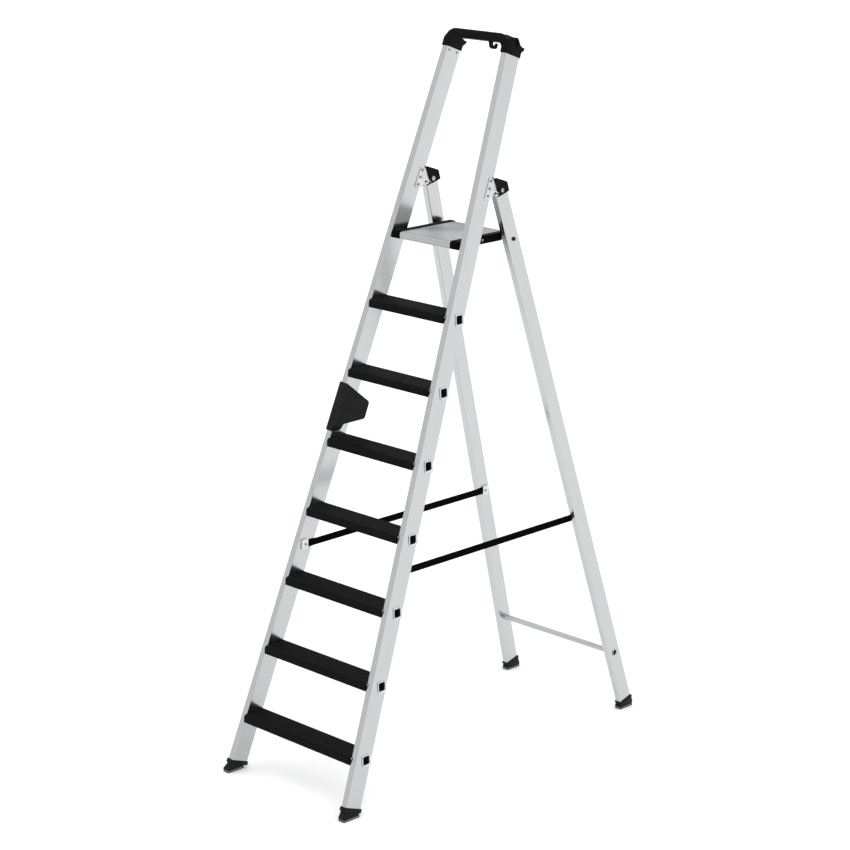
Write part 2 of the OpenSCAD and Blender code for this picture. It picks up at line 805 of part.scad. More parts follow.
module strap_front_rivets() {
  color([0.68, 0.68, 0.69]) for (side = [0, 1]) mirror([side, 0, 0]) stile_frame()
    translate([0, strap_front_back - 5, strap_front_up]) {
      cross_bar(-stile_width - front_clip_thick - 0.5, -stile_width + stile_wall + 2, rivet_radius);
      cross_bar(-stile_width - front_clip_thick - 1.7, -stile_width - front_clip_thick - 0.02, 4.4);
    }
}

module strap_rear_clips() {
  color([0.80, 0.81, 0.81]) for (side = [0, 1]) mirror([side, 0, 0]) difference() {
    leg_frame() translate([0, strap_rear_back + 5, strap_rear_up]) rotate([-rear_lean, 0, 0])
      clip_box(leg_width, rear_clip_thick);
    floor_frame() translate([strap_x - 1.15, strap_rear_y - 54, strap_z - strap_width / 2 - 1.5])
      cube([2.3, 50.5, strap_width + 3]);
    leg_frame() translate([0, strap_rear_back + 4, strap_rear_up])
      cross_bar(-leg_width - rear_clip_thick - 3, -leg_width + 3, rivet_radius + fit);
  }
}

module strap_rear_rivets() {
  color([0.68, 0.68, 0.69]) for (side = [0, 1]) mirror([side, 0, 0]) leg_frame()
    translate([0, strap_rear_back + 4, strap_rear_up]) {
      cross_bar(-leg_width - rear_clip_thick - 0.5, -leg_width + leg_wall + 2, rivet_radius);
      cross_bar(-leg_width - rear_clip_thick - 1.7, -leg_width - rear_clip_thick - 0.02, 4.4);
    }
}

module strap_shape() {
  difference() {
    floor_frame() translate([strap_x - strap_thick / 2, strap_front_y - 4, strap_z - strap_width / 2])
      cube([strap_thick, strap_rear_y - strap_front_y, strap_width]);
    stile_frame() translate([0, strap_front_back - 5, strap_front_up])
      cross_bar(-stile_width - front_clip_thick - 6, -stile_width + 3, rivet_radius + 0.1);
    leg_frame() translate([0, strap_rear_back + 4, strap_rear_up])
      cross_bar(-leg_width - rear_clip_thick - 6, -leg_width + 3, rivet_radius + 0.1);
  }
}

module strap_right() {
  color([0.07, 0.07, 0.08]) strap_shape();
}

module strap_left() {
  color([0.07, 0.07, 0.08]) left_hand() strap_shape();
}

// ---------- platform ----------
deck_drop = 2;

// studs fixed in the stile inner walls, running in the platform sides
module platform_pivots() {
  inner = stile_inner(pivot_up);
  color([0.66, 0.66, 0.67]) for (side = [0, 1]) mirror([side, 0, 0]) {
    floor_frame() translate([0, pivot_y, pivot_z]) {
      cross_bar(deck_half + 8, inner + 4, 5);
      cross_bar(inner + stile_wall + 0.7, inner + 5, 8);
    }
  }
}

// shoulder bolts through the rear legs, carrying the back of the platform
module platform_rest_bolts() {
  outer = leg_outer(rest_up);
  inner = leg_inner(rest_up);
  color([0.12, 0.12, 0.13]) for (side = [0, 1]) mirror([side, 0, 0]) {
    floor_frame() translate([0, rest_y, rest_z]) {
      cross_bar(side_half - 9, outer + 2, 5);
      cross_bar(outer + 0.6, outer + 4, 7);
      cross_bar(side_half + 1.5, inner - 0.6, 8);
    }
  }
}

// hollow deck drawn in Y and Z from the nose at the underside
module deck_section() {
  top = platform_thick - deck_drop;
  length = platform_depth - 8;
  difference() {
    union() {
      translate([9, top - 2.6]) square([length - 9, 2.6]);
      translate([9, 0]) square([14, top]);
      translate([0, 2]) square([12, top - 11]);
      translate([9, top - 9]) circle(9);
      translate([2, 0]) square([10, 4]);
      translate([2, 2]) circle(2);
      for (y = [72, 132, 192]) {
        translate([y, 6]) square([2, top - 7]);
        translate([y - 5, 6]) square([12, 2]);
      }
      translate([length - 2.4, 2]) square([2.4, top - 2]);
      translate([length - 12, 2]) square([12, 2.2]);
    }
    translate([2.6, 6]) square([17, top - 15]);
    for (i = [0:17]) {
      translate([24 + i * 13, top - 0.8]) square([5, 2]);
    }
  }
}

module platform_deck() {
  color([0.76, 0.77, 0.77]) floor_frame() translate([0, platform_nose, platform_under])
    across(-deck_half + 0.02, deck_half - 0.02) deck_section();
}

// side moulding: long rail plus a wide front block around the pivot stud
module side_rail_outline() {
  polygon([[0, 2], [2, 0], [platform_depth - 14, 0], [platform_depth - 4, 5],
    [platform_depth, 14], [platform_depth, platform_thick - 2],
    [platform_depth - 4, platform_thick], [8, platform_thick],
    [3, platform_thick - 3], [0, platform_thick - 9]]);
}

module side_block_outline() {
  polygon([[0, 2], [2, 0], [44, 0], [50, 6], [50, platform_thick - 4],
    [46, platform_thick], [8, platform_thick], [3, platform_thick - 3], [0, platform_thick - 9]]);
}

module platform_side_shape() {
  difference() {
    union() {
      floor_frame() translate([0, platform_nose, platform_under]) {
        across(deck_half, side_half) side_rail_outline();
        across(deck_half + 1, block_half) side_block_outline();
      }
    }
    floor_frame() translate([0, pivot_y, pivot_z]) cross_bar(deck_half + 7, block_half + 2, 5.08);
    floor_frame() translate([side_half - 9.5, rest_y - 12, platform_under - 1])
      cube([20, 17.2, rest_z - platform_under + 6.1]);
    floor_frame() translate([0, platform_nose + 135, platform_under + 14])
      cross_bar(side_half - 8, side_half + 1, rivet_radius + fit);
  }
}

module platform_side_right() {
  color([0.09, 0.09, 0.10]) platform_side_shape();
}

module platform_side_left() {
  color([0.09, 0.09, 0.10]) left_hand() platform_side_shape();
}

module platform_rivets() {
  color([0.75, 0.75, 0.76]) for (side = [0, 1]) mirror([side, 0, 0]) floor_frame()
    translate([0, platform_nose + 135, platform_under + 14]) {
      cross_bar(side_half - 7, side_half + 0.5, rivet_radius);
      cross_bar(side_half + 0.02, side_half + 1.3, 4);
    }
}

// ---------- draw ----------
stile_left();
stile_right();
step_profile_1();
step_profile_2();
step_profile_3();
step_profile_4();
step_profile_5();
step_profile_6();
step_profile_7();
tread_cover_1();
tread_cover_2();
tread_cover_3();
tread_cover_4();
tread_cover_5();
tread_cover_6();
tread_cover_7();
top_cap();
cap_rivets();
hinge_plate_outer_left();
hinge_plate_outer_right();
hinge_plate_inner_left();
hinge_plate_inner_right();
hinge_rivets();
hinge_bolts();
carry_grip();
grip_screws();
front_shoe_left();
front_shoe_right();
front_sole_left();
front_sole_right();
strap_front_clips();
strap_front_rivets();
platform_pivots();
rear_leg_left();
rear_leg_right();
rear_cap_left();
rear_cap_right();
rear_brace();
rear_shoe_left();
rear_shoe_right();
rear_sole_left();
rear_sole_right();
strap_rear_clips();
strap_rear_rivets();
platform_rest_bolts();
platform_deck();
platform_side_left();
platform_side_right();
platform_rivets();
strap_left();
strap_right();
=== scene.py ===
import math
import bmesh
import bpy
from mathutils import Matrix, Vector


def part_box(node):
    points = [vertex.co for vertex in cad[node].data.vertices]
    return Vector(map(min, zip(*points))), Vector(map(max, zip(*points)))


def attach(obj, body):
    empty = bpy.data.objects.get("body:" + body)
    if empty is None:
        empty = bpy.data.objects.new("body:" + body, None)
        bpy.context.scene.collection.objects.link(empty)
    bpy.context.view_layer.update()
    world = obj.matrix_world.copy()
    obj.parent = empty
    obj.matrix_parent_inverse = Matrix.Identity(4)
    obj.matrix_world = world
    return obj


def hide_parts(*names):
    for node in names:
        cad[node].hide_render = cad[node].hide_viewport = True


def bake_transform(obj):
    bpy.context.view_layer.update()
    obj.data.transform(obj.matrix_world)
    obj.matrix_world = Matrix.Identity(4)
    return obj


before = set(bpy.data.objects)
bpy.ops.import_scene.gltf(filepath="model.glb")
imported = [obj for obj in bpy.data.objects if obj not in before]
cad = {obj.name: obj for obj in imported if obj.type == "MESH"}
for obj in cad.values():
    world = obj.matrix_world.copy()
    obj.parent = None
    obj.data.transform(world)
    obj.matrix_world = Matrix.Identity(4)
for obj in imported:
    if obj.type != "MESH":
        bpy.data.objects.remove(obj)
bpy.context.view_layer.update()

# ---------- front stiles ----------
# Two rectangular aluminium tubes, extruded, cut to length and satin anodised.
# The square holes for the steps are already in the CAD pieces, which stay.
floor_middle = -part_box("front_sole_right")[0].y
front_lean = math.radians(20.67)
side_taper = math.radians(3.33)
base_half = 0.3036
stile_width = 0.024

front_plane = Matrix.Translation((0, -floor_middle, 0)) @ Matrix.Rotation(-front_lean, 4, "X")
stile_right_turn = Matrix.Rotation(-side_taper, 4, "Y")
stile_left_turn = Matrix.Rotation(side_taper, 4, "Y")
stile_right_place = front_plane @ Matrix.Translation((base_half, 0, 0)) @ stile_right_turn
stile_left_place = front_plane @ Matrix.Translation((-base_half, 0, 0)) @ stile_left_turn


def start_finish(name, roughness, metallic, specular=0.5):
    """A new material with its shader's even values set."""
    finish = bpy.data.materials.new(name)
    finish.use_nodes = True
    shader = finish.node_tree.nodes["Principled BSDF"]
    shader.inputs["Roughness"].default_value = roughness
    shader.inputs["Metallic"].default_value = metallic
    shader.inputs["Specular IOR Level"].default_value = specular
    return finish, shader


def add_node(finish, kind, sockets, **settings):
    """A node with its settings, and its sockets either given a value or joined to another node."""
    made = finish.node_tree.nodes.new(kind)
    for key, value in settings.items():
        setattr(made, key, value)
    for key, value in sockets.items():
        if isinstance(value, bpy.types.NodeSocket):
            finish.node_tree.links.new(value, made.inputs[key])
        else:
            made.inputs[key].default_value = value
    return made


def place_on(finish, place=None):
    """Object coordinates, turned to lie along a piece when its place is given."""
    coords = add_node(finish, "ShaderNodeTexCoord", {}).outputs["Object"]
    if place is None:
        return coords
    turned = {"Vector": coords, "Location": place.translation, "Rotation": place.to_euler()}
    return add_node(finish, "ShaderNodeMapping", turned, vector_type="TEXTURE").outputs[0]


def stretched_noise(finish, coords, stretch, detail=3.0, rough=0.55):
    """Noise stretched by a different amount along each direction, in cycles a metre."""
    scaled = add_node(finish, "ShaderNodeMapping", {"Vector": coords, "Scale": stretch})
    sockets = {"Vector": scaled.outputs[0], "Scale": 1.0, "Detail": detail, "Roughness": rough}
    return add_node(finish, "ShaderNodeTexNoise", sockets).outputs[0]


def remap(finish, value, low, high, new_low, new_high):
    sockets = {0: value, 1: low, 2: high, 3: new_low, 4: new_high}
    return add_node(finish, "ShaderNodeMapRange", sockets, clamp=True).outputs[0]


def blend_colours(finish, amount, first, second):
    made = add_node(finish, "ShaderNodeMix", {0: amount}, data_type="RGBA")
    for index, colour in ((6, first), (7, second)):
        if isinstance(colour, bpy.types.NodeSocket):
            finish.node_tree.links.new(colour, made.inputs[index])
        else:
            made.inputs[index].default_value = (*colour, 1)
    return made.outputs[2]


def calculate(finish, operation, first, second=0.0, third=0.0):
    sockets = {0: first, 1: second, 2: third}
    return add_node(finish, "ShaderNodeMath", sockets, operation=operation).outputs[0]


def join_up(finish, value, shader, socket):
    finish.node_tree.links.new(value, shader.inputs[socket])


def raise_surface(finish, shader, layers):
    """Bump made of several layers of height, each (height, distance in metres, strength)."""
    normal = None
    for height, distance, strength in layers:
        sockets = {"Height": height, "Distance": distance, "Strength": strength}
        if normal is not None:
            sockets["Normal"] = normal
        normal = add_node(finish, "ShaderNodeBump", sockets).outputs[0]
    join_up(finish, normal, shader, "Normal")


def aluminium(name, place, light, dark, smooth, rough, grooves=()):
    """Anodised or mill aluminium: lines along Z of the place given, clouding and handling marks, and any
    grooves given, bumped in and darkened with painted shade.
    """
    finish, shader = start_finish(name, rough, 1.0)
    coords = place_on(finish, place)
    die_lines = stretched_noise(finish, coords, (900, 900, 1.2), 4.0)
    cloud = stretched_noise(finish, coords, (9, 9, 3), 2.0)
    marks = stretched_noise(finish, coords, (160, 160, 22), 5.0, 0.7)
    tone = calculate(finish, "MULTIPLY_ADD", die_lines, 0.45, calculate(finish, "MULTIPLY", cloud, 0.55))
    colour = blend_colours(finish, remap(finish, tone, 0.35, 0.65, 0.0, 1.0), dark, light)
    worn = remap(finish, marks, 0.64, 0.76, 0.0, 0.3)
    colour = blend_colours(finish, worn, colour, tuple(0.9 * value for value in dark))
    gloss = calculate(finish, "MULTIPLY_ADD", die_lines, 0.3, calculate(finish, "MULTIPLY", marks, 0.7))
    join_up(finish, remap(finish, gloss, 0.25, 0.75, smooth, rough), shader, "Roughness")
    layers = [(die_lines, 0.00002, 0.25), (marks, 0.00001, 0.15)]
    if grooves:
        across = add_node(finish, "ShaderNodeSeparateXYZ", {0: coords})
        inset = calculate(finish, "ABSOLUTE", across.outputs[0])
        depth = None
        for centre, half_width in grooves:
            away = calculate(finish, "ABSOLUTE", calculate(finish, "SUBTRACT", inset, centre))
            line = remap(finish, away, half_width * 0.5, half_width, 0.0, 1.0)
            depth = line if depth is None else calculate(finish, "MULTIPLY", depth, line)
        on_front = remap(finish, across.outputs[1], 0.0006, 0.0012, 0.0, 1.0)
        depth = calculate(finish, "MAXIMUM", depth, on_front)
        layers.insert(0, (depth, 0.0005, 0.9))
        # The grooves are darkened in colour as well as bumped: painted shade in the grooves.
        groove_painted_shade = calculate(finish, "MULTIPLY_ADD", depth, -0.25, 0.25)
        colour = blend_colours(finish, groove_painted_shade, colour, (0.25, 0.26, 0.26))
    join_up(finish, colour, shader, "Base Color")
    raise_surface(finish, shader, layers)
    return finish


def set_finish(part, finish):
    part.data.materials.clear()
    part.data.materials.append(finish)


stile_light = (0.512, 0.531, 0.531)
stile_dark = (0.490, 0.509, 0.511)
front_lines = ((0.0055, 0.00045), (0.0185, 0.00045))
anodised_smooth, anodised_rough = 0.14, 0.24
for node, place in (("stile_right", stile_right_place), ("stile_left", stile_left_place)):
    set_finish(cad[node], aluminium(
        "anodised_" + node, place, stile_light, stile_dark, anodised_smooth, anodised_rough, front_lines))

# ---------- step profiles ----------
# Seven pressed aluminium steps: a folded channel on a square tube. The tube ends are pushed
# through the stiles and rolled over into a raised lip outside, which holds each step.
step_rise = 0.235
first_tread = 0.2054
step_gap = 0.0005
tube_half = 0.0160
tube_corner = 0.0022
tube_hole = 0.0138
hole_corner = 0.0043
tube_middle = (0.0430, -0.0215)
stile_outward = (stile_right_place.to_3x3() @ Vector((1, 0, 0))).normalized()
step_finish = aluminium("step_aluminium", None, (0.62, 0.63, 0.63), (0.58, 0.59, 0.59), 0.22, 0.34)


def square_ring(work, half, corner, reach, middle, side=1, outward=Vector((1, 0, 0))):
    """A loop of 32 points round a rounded square, lying square to the outward direction."""
    turn = Matrix.Rotation(math.pi / 32, 4, "Z")
    points = bmesh.ops.create_circle(work, segments=32, radius=1.0, matrix=turn)["verts"]
    for point in points:
        across, rise = point.co.x, point.co.y
        back = math.copysign(half - corner, across) + corner * across
        height = math.copysign(half - corner, rise) + corner * rise
        slant = (outward.y * back + outward.z * height) / outward.x
        point.co = Vector((side * (reach - slant), middle.y + back, middle.z + height))
    return list({edge for point in points for edge in point.link_edges})


def extrude_outline(work, outline, x_from, x_to):
    """A closed outline in Y and Z, drawn out along X into a solid bar."""
    points = [work.verts.new((x_from, y, z)) for y, z in outline]
    face = work.faces.new(points)
    drawn = bmesh.ops.extrude_face_region(work, geom=[face])
    moved = [item for item in drawn["geom"] if isinstance(item, bmesh.types.BMVert)]
    bmesh.ops.translate(work, verts=moved, vec=(x_to - x_from, 0, 0))
    return points + moved


def cut_between_stiles(work, gap):
    """Cuts the ends off along the sloping inner faces of the two stiles and closes them."""
    for side in (1, -1):
        place = stile_right_place if side > 0 else stile_left_place
        outward = (place.to_3x3() @ Vector((side, 0, 0))).normalized()
        point = place @ Vector((-side * (stile_width + gap), 0, 0))
        everything = work.verts[:] + work.edges[:] + work.faces[:]
        cut = bmesh.ops.bisect_plane(
            work, geom=everything, plane_co=point, plane_no=outward, clear_outer=True)
        rim = [item for item in cut["geom_cut"] if isinstance(item, bmesh.types.BMEdge)]
        bmesh.ops.holes_fill(work, edges=rim, sides=0)


def make_piece(name, work, finish, sharp=32):
    """Turns the mesh work into an object, smooth except along its real edges."""
    bmesh.ops.remove_doubles(work, verts=work.verts, dist=0.000002)
    bmesh.ops.recalc_face_normals(work, faces=work.faces)
    mesh = bpy.data.meshes.new(name)
    work.to_mesh(mesh)
    work.free()
    mesh.materials.append(finish)
    mesh.shade_smooth()
    mesh.set_sharp_from_angle(angle=math.radians(sharp))
    part = bpy.data.objects.new(name, mesh)
    bpy.context.scene.collection.objects.link(part)
    return part


channel_outline = (
    (-0.0050, -0.0060), (-0.0040, -0.0035), (0.0700, -0.0035), (0.0728, -0.0060), (0.0728, -0.0188),
    (0.0662, -0.0188), (0.0662, -0.0170), (0.0706, -0.0170), (0.0706, -0.0059), (-0.0028, -0.0059),
    (-0.0028, -0.0240), (0.0018, -0.0240), (0.0018, -0.0258), (-0.0050, -0.0258),
)
lip_shape = (
    (0.0160, 0.0022, -0.0030), (0.0178, 0.0050, 0.0002), (0.0201, 0.0075, 0.0009), (0.0205, 0.0078, 0.0017),
    (0.0201, 0.0076, 0.0025), (0.0190, 0.0072, 0.0029), (0.0175, 0.0066, 0.0028), (0.0159, 0.0058, 0.0020),
    (0.0147, 0.0051, 0.0004), (0.0140, 0.0045, -0.0030),
)


def painted_shade_inside(name):
    """The inside of a tube, coloured near black as painted shade for its dark hollow, with a mottled tone.
    """
    finish, shader = start_finish(name, 0.8, 0.0, 0.1)
    coords = place_on(finish)
    inside_mottle = stretched_noise(finish, coords, (60, 200, 200), 4.0)
    # Near-black colours: painted shade for the deep inside of the tube.
    colour = blend_colours(finish, inside_mottle, (0.006, 0.006, 0.007), (0.016, 0.016, 0.017))
    join_up(finish, colour, shader, "Base Color")
    join_up(finish, remap(finish, inside_mottle, 0.3, 0.7, 0.7, 0.9), shader, "Roughness")
    raise_surface(finish, shader, [(inside_mottle, 0.0002, 0.3)])
    return finish


hollow_painted_shade = painted_shade_inside("tube_inside")
for number in range(1, 8):
    height = first_tread + (number - 1) * step_rise
    forward = height * math.tan(front_lean) - floor_middle
    work = bmesh.new()
    extrude_outline(work, [(forward + y, height + z) for y, z in channel_outline], -base_half, base_half)
    cut_between_stiles(work, step_gap)
    centre = Vector((0, forward + tube_middle[0], height + tube_middle[1]))
    up = centre.z * math.cos(front_lean) + (centre.y + floor_middle) * math.sin(front_lean)
    reach = base_half - up * math.tan(side_taper)
    for side in (1, -1):
        rings = [square_ring(work, tube_half, tube_corner, 0.0, centre, side)]
        for half, corner, out in lip_shape:
            rings.append(square_ring(work, half, corner, reach + out, centre, side, stile_outward))
        rings.append(square_ring(work, tube_hole, hole_corner, reach - 0.008, centre, side))
        rings.append(square_ring(work, tube_hole, hole_corner, 0.0, centre, side))
        for inner, outer in zip(rings, rings[1:]):
            wall = bmesh.ops.bridge_loops(work, edges=inner + outer)["faces"]
            # The inner walls take the near-black painted shade finish.
            if outer is rings[-1] or outer is rings[-2]:
                for face in wall:
                    face.material_index = 1
    part = make_piece("step_%d" % number, work, step_finish)
    part.data.materials.append(hollow_painted_shade)
    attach(part, "front_section")
    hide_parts("step_profile_%d" % number)

# ---------- tread covers ----------
# A ribbed black moulding clipped over each step, with a rounded nose that stands in front of
# the stiles. The skin is matt, with faint scuffs and a little dust.
tread_back = 0.07545
nose_front = -0.0125
nose_radius = 0.0095
tread_gap = 0.0004


def black_plastic(name, light, dark, smooth, rough, grain, dust=0.0, specular=0.3):
    """Moulded black plastic or a black coating: a grained skin, faint flow marks, scuffs and dust."""
    finish, shader = start_finish(name, rough, 0.0, specular)
    coords = place_on(finish)
    skin = stretched_noise(finish, coords, (grain, grain, grain), 2.0)
    flow = stretched_noise(finish, coords, (14, 30, 30), 4.0, 0.6)
    scuff = stretched_noise(finish, coords, (60, 190, 190), 5.0, 0.72)
    colour = blend_colours(finish, remap(finish, flow, 0.3, 0.7, 0.0, 1.0), dark, light)
    worn = remap(finish, scuff, 0.60, 0.78, 0.0, dust)
    colour = blend_colours(finish, worn, colour, tuple(2.6 * value + 0.008 for value in light))
    join_up(finish, colour, shader, "Base Color")
    gloss = calculate(finish, "MULTIPLY_ADD", scuff, 0.5, calculate(finish, "MULTIPLY", skin, 0.5))
    join_up(finish, remap(finish, gloss, 0.35, 0.65, smooth, rough), shader, "Roughness")
    raise_surface(finish, shader, [(flow, 0.0002, 0.12), (skin, 0.00008, 0.35)])
    return finish


tread_finish = black_plastic(
    "tread_plastic", light=(0.0034, 0.0034, 0.0035), dark=(0.0024, 0.0024, 0.0025),
    smooth=0.44, rough=0.60, grain=1500, dust=0.10, specular=0.045)
rib_count = 16
rib_pitch = 0.0042
first_rib = 0.0030
tread_top = []
for index in range(rib_count):
    start = first_rib + index * rib_pitch
    tread_top += [(start, -0.0009), (start + 0.0005, -0.0001),
                  (start + 0.0024, 0.0), (start + 0.0029, -0.0009)]
nose_curve = []
for index in range(9):
    angle = math.radians(90 * index / 8)
    nose_curve.append((nose_front + nose_radius - nose_radius * math.sin(angle),
                       -0.0105 + nose_radius * math.cos(angle)))
tread_outline = (
    [(tread_back - 0.0005, 0.0), (tread_back, -0.0005), (tread_back, -0.0138),
     (tread_back - 0.0022, -0.0138), (tread_back - 0.0022, -0.0033), (-0.0050, -0.0033),
     (-0.0050, -0.0300), (nose_front + 0.0016, -0.0300), (nose_front + 0.0004, -0.0294),
     (nose_front, -0.0284), (nose_front, -0.0252), (nose_front + 0.0006, -0.0248),
     (nose_front + 0.0006, -0.0240), (nose_front, -0.0236), (nose_front, -0.0200),
     (nose_front + 0.0006, -0.0196), (nose_front + 0.0006, -0.0188), (nose_front, -0.0184)]
    + list(reversed(nose_curve)) + [(0.0006, -0.0003), (0.0016, -0.0009)] + tread_top
    + [(0.0718, -0.0009), (0.0724, 0.0)]
)
for number in range(1, 8):
    height = first_tread + (number - 1) * step_rise
    forward = height * math.tan(front_lean) - floor_middle
    work = bmesh.new()
    extrude_outline(work, [(forward + y, height + z) for y, z in tread_outline], -base_half, base_half)
    cut_between_stiles(work, tread_gap)
    part = make_piece("tread_%d" % number, work, tread_finish, 28)
    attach(part, "front_section")
    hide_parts("tread_cover_%d" % number)

# ---------- top cap ----------
# One black moulding over both stile ends: a crossbar with a hand hold below it, a tray on top
# and a small hook. Two blind rivets hold it to each stile.


def softened(node, radius, segments=3, angle=28):
    """The CAD piece's shape, merged, with every hard edge rounded as a mould or a tumbler leaves it."""
    work = bmesh.new()
    work.from_mesh(cad[node].data)
    bmesh.ops.remove_doubles(work, verts=work.verts, dist=0.000004)
    bmesh.ops.dissolve_limit(work, angle_limit=math.radians(1.0), verts=work.verts, edges=work.edges)
    hard = [edge for edge in work.edges
            if len(edge.link_faces) == 2 and edge.calc_face_angle() > math.radians(angle)]
    bmesh.ops.bevel(work, geom=hard, offset=radius, offset_type="OFFSET", segments=segments, profile=0.5,
                    affect="EDGES", clamp_overlap=True, material=-1)
    return work


cap_finish = black_plastic(
    "cap_plastic", light=(0.0034, 0.0034, 0.0036), dark=(0.0024, 0.0024, 0.0026),
    smooth=0.34, rough=0.48, grain=1100, dust=0.05, specular=0.055)
part = make_piece("cap_moulding", softened("top_cap", 0.0014), cap_finish)
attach(part, "front_section")
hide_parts("top_cap")


def bright_metal(name, light, dark, smooth, rough):
    """Zinc plated or bare steel: small pits and a duller patch here and there."""
    finish, shader = start_finish(name, rough, 1.0)
    coords = place_on(finish)
    pits = stretched_noise(finish, coords, (1800, 1800, 1800), 4.0, 0.6)
    patch = stretched_noise(finish, coords, (180, 180, 180), 3.0)
    colour = blend_colours(finish, remap(finish, patch, 0.35, 0.65, 0.0, 1.0), dark, light)
    join_up(finish, colour, shader, "Base Color")
    join_up(finish, remap(finish, pits, 0.3, 0.7, smooth, rough), shader, "Roughness")
    raise_surface(finish, shader, [(pits, 0.00004, 0.4)])
    return finish


rivet_finish = bright_metal("rivet_metal", (0.34, 0.35, 0.36), (0.24, 0.25, 0.26), 0.22, 0.40)
part = make_piece("cap_rivet_heads", softened("cap_rivets", 0.0007, 4), rivet_finish)
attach(part, "front_section")
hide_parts("cap_rivets")

# ---------- hinge plates ----------
# A blanked aluminium plate on each side of each stile, with three solid rivets through both
# plates and the stile. The rear leg turns on a domed bolt through the two plates.
plate_finish = aluminium("hinge_plate_satin", None, (0.64, 0.65, 0.65), (0.60, 0.61, 0.61), 0.28, 0.42)
for node in ("hinge_plate_outer_left", "hinge_plate_outer_right",
             "hinge_plate_inner_left", "hinge_plate_inner_right"):
    part = make_piece(node + "_blank", softened(node, 0.0006, 2), plate_finish)
    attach(part, "front_section")
    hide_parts(node)
hinge_rivet_finish = bright_metal("hinge_rivet_metal", (0.26, 0.27, 0.28), (0.18, 0.19, 0.20), 0.25, 0.42)
part = make_piece("hinge_rivet_heads", softened("hinge_rivets", 0.0008, 4), hinge_rivet_finish)
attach(part, "front_section")
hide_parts("hinge_rivets")
bolt_finish = bright_metal("bolt_metal", (0.44, 0.45, 0.46), (0.28, 0.29, 0.30), 0.12, 0.26)
bolt_low, bolt_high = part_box("hinge_bolts")
bolt_tip = bolt_high.x
bolt_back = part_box("rear_cap_right")[0].x
bolt_middle = (bolt_low + bolt_high) / 2
shank_radius = 0.0048
bolt_shape = (
    (bolt_back - 0.0009, 0.0), (bolt_back - 0.0009, 0.0078), (bolt_back - 0.0006, 0.0084),
    (bolt_back - 0.0001, 0.0085), (bolt_back - 0.0001, shank_radius), (bolt_tip - 0.0040, shank_radius),
    (bolt_tip - 0.0040, 0.0070), (bolt_tip - 0.0036, 0.0074), (bolt_tip - 0.0027, 0.0074),
    (bolt_tip - 0.0020, 0.0070), (bolt_tip - 0.0009, 0.0058), (bolt_tip - 0.0002, 0.0042),
    (bolt_tip, 0.0032), (bolt_tip - 0.0003, 0.0028), (bolt_tip - 0.0018, 0.0026),
    (bolt_tip - 0.0018, 0.0),
)


def spun_pair(shape):
    """A turned shape, given as (distance along X, radius), and its mirror image."""
    work = bmesh.new()
    for side in (1, -1):
        points = [work.verts.new((side * x, 0, radius)) for x, radius in shape]
        line = [work.edges.new(pair) for pair in zip(points, points[1:])]
        bmesh.ops.spin(work, geom=points + line, cent=(0, 0, 0), axis=(1, 0, 0),
                       angle=2 * math.pi, steps=40, use_merge=True)
    return work


work = spun_pair(bolt_shape)
bmesh.ops.translate(work, verts=work.verts, vec=(0, bolt_middle.y, bolt_middle.z))
part = make_piece("hinge_bolt_heads", work, bolt_finish)
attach(part, "front_section")
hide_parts("hinge_bolts")

# ---------- carry grip ----------
# A flat black moulding on the left stile, wrapped round its front and reaching back along its
# inner side, for carrying the folded ladder. Three small black screws hold it.
grip_finish = black_plastic(
    "grip_plastic", light=(0.0062, 0.0062, 0.0064), dark=(0.0048, 0.0048, 0.0050),
    smooth=0.40, rough=0.54, grain=1200, dust=0.06, specular=0.10)
part = make_piece("carry_grip_moulding", softened("carry_grip", 0.0012), grip_finish)
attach(part, "front_section")
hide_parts("carry_grip")
black_metal_finish = black_plastic(
    "black_coated_metal", light=(0.0030, 0.0030, 0.0030), dark=(0.0018, 0.0018, 0.0018),
    smooth=0.25, rough=0.42, grain=1800, dust=0.05, specular=0.15)
part = make_piece("grip_screw_heads", softened("grip_screws", 0.0005, 3), black_metal_finish)
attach(part, "front_section")
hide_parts("grip_screws")

# ---------- front feet ----------
# A moulded black shoe pushed on the end of each stile, with a collar lip round the tube, a
# narrow waist and a black rubber sole that stands flat on the floor.
shoe_finish = black_plastic(
    "shoe_plastic", light=(0.0044, 0.0044, 0.0045), dark=(0.0030, 0.0030, 0.0031),
    smooth=0.38, rough=0.56, grain=1300, dust=0.14, specular=0.13)


def sole_rubber(name):
    """Black rubber with one thin lighter layer and an uneven film of dust."""
    finish, shader = start_finish(name, 0.7, 0.0, 0.25)
    coords = place_on(finish)
    skin = stretched_noise(finish, coords, (1400, 1400, 1400), 2.0)
    dust = stretched_noise(finish, coords, (90, 90, 300), 4.0, 0.7)
    height = add_node(finish, "ShaderNodeSeparateXYZ", {0: coords}).outputs[2]
    layer_height = 0.0052
    away = calculate(finish, "ABSOLUTE", calculate(finish, "SUBTRACT", height, layer_height))
    layer = remap(finish, away, 0.0007, 0.0010, 1.0, 0.0)
    colour = blend_colours(finish, layer, (0.005, 0.005, 0.0053), (0.34, 0.34, 0.345))
    colour = blend_colours(finish, remap(finish, dust, 0.55, 0.8, 0.0, 0.25), colour, (0.10, 0.098, 0.095))
    join_up(finish, colour, shader, "Base Color")
    join_up(finish, remap(finish, skin, 0.3, 0.7, 0.55, 0.8), shader, "Roughness")
    raise_surface(finish, shader, [(layer, 0.0003, 0.5), (skin, 0.0001, 0.35)])
    return finish


sole_finish = sole_rubber("sole_rubber")
for side in ("left", "right"):
    part = make_piece("front_shoe_%s_moulding" % side, softened("front_shoe_" + side, 0.0011), shoe_finish)
    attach(part, "front_section")
    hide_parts("front_shoe_" + side)
    part = make_piece("front_sole_%s_rubber" % side, softened("front_sole_" + side, 0.0007, 2), sole_finish)
    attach(part, "front_section")
    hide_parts("front_sole_" + side)

